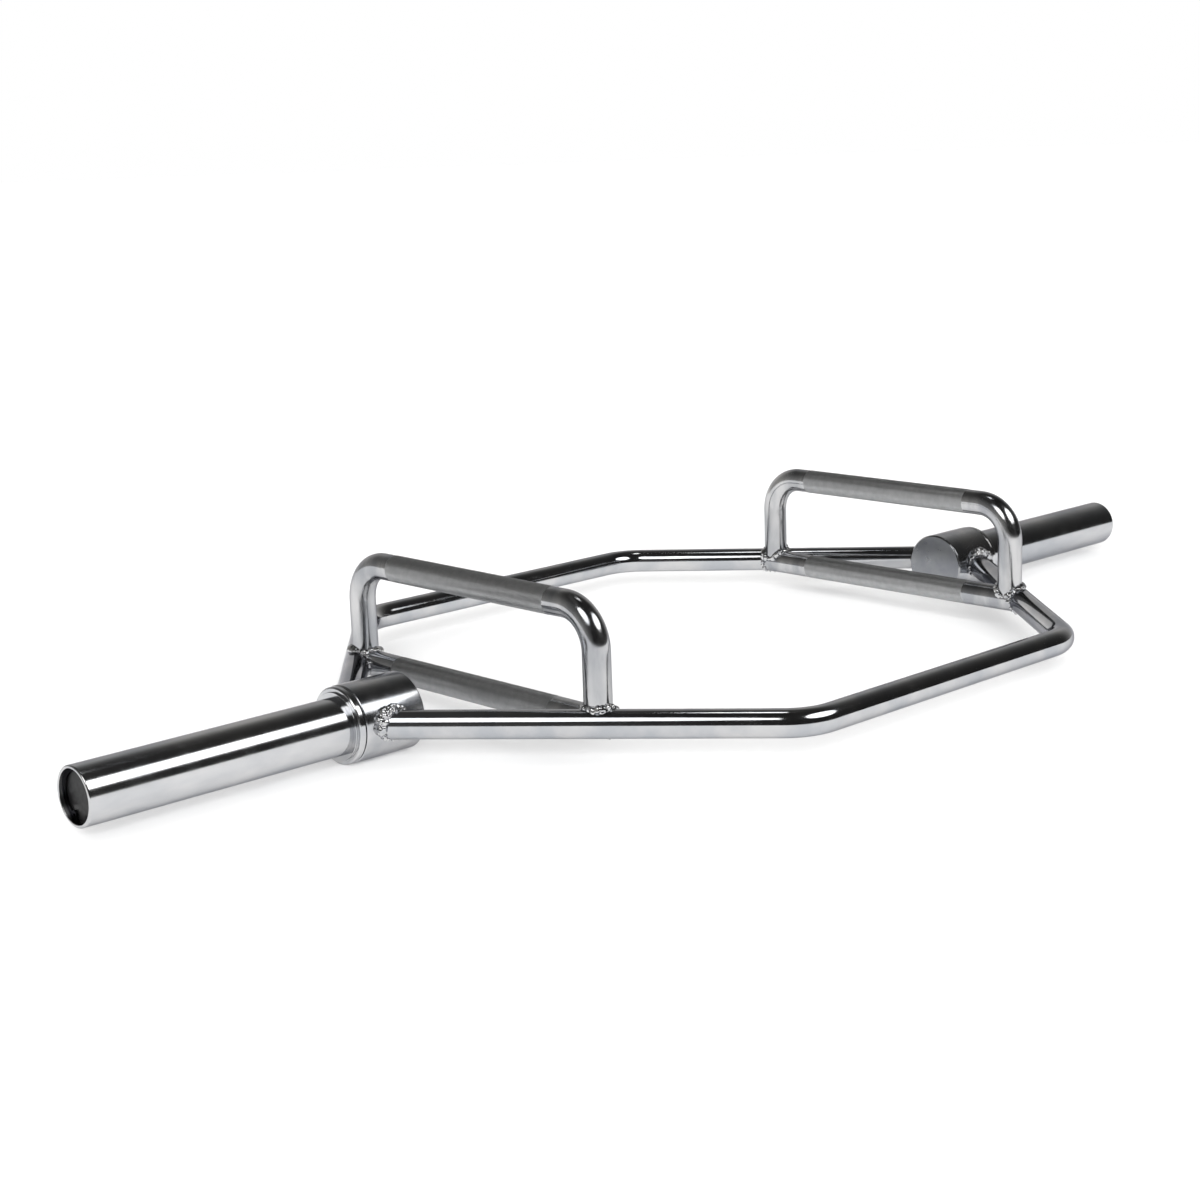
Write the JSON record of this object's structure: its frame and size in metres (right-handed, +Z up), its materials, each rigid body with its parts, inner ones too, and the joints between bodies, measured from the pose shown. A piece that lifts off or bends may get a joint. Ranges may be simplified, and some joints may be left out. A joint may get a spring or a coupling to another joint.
{
  "type": "hex trap bar",
  "caption": "Chromed hexagonal trap bar with low and raised knurled handles and a turning sleeve at each end for weight plates.",
  "frame": {"origin": "on the floor under the middle of the hexagon, below the sleeves' common axis", "axes": "+X along the sleeves to the right-hand sleeve, +Y across the hexagon to its rear side, +Z up from the floor to the raised handles"},
  "size_m": [1.384, 0.625, 0.1425],
  "materials": {
    "bright_chrome": "mirror chrome plate on the bent bars and hubs, with faint drawing lines",
    "sleeve_chrome": "mirror chrome plate on turned sleeves, with fine turning lines",
    "handle_chrome": "chrome plate, mirror bright outside the knurl and dull grey on it",
    "weld_chrome": "chrome plate over lumpy weld metal",
    "turned_steel": "turned and greased steel inside the sleeve",
    "bronze": "oiled bearing bronze",
    "black_cap": "satin black disc with nothing printed on it",
    "black_spring_steel": "blackened spring steel"
  },
  "bodies": {
    "frame": {"front_hex_bar": "bright_chrome", "rear_hex_bar": "bright_chrome", "left_hub": "bright_chrome", "left_spindle": "turned_steel", "left_thrust_washer": "bronze", "left_retaining_washer": "turned_steel", "left_spindle_ring": "black_spring_steel", "left_low_handle": "handle_chrome", "left_raised_handle": "handle_chrome", "right_hub": "bright_chrome", "right_spindle": "turned_steel", "right_thrust_washer": "bronze", "right_retaining_washer": "turned_steel", "right_spindle_ring": "black_spring_steel", "right_low_handle": "handle_chrome", "right_raised_handle": "handle_chrome", "hub_welds": "weld_chrome", "handle_welds": "weld_chrome"},
    "left_sleeve_unit": {"left_sleeve": "sleeve_chrome", "left_stop_collar": "sleeve_chrome", "left_inner_bush": "bronze", "left_outer_bush": "bronze", "left_end_cap": "black_cap", "left_cap_ring": "black_spring_steel"},
    "right_sleeve_unit": {"right_sleeve": "sleeve_chrome", "right_stop_collar": "sleeve_chrome", "right_inner_bush": "bronze", "right_outer_bush": "bronze", "right_end_cap": "black_cap", "right_cap_ring": "black_spring_steel"}
  },
  "joints": [
    {"name": "left_sleeve_spin", "type": "hinge", "parent": "frame", "child": "left_sleeve_unit", "pos_m": [-0.565, 0, 0.034], "axis": [1, 0, 0], "continuous": true},
    {"name": "right_sleeve_spin", "type": "hinge", "parent": "frame", "child": "right_sleeve_unit", "pos_m": [0.565, 0, 0.034], "axis": [1, 0, 0], "continuous": true}
  ]
}
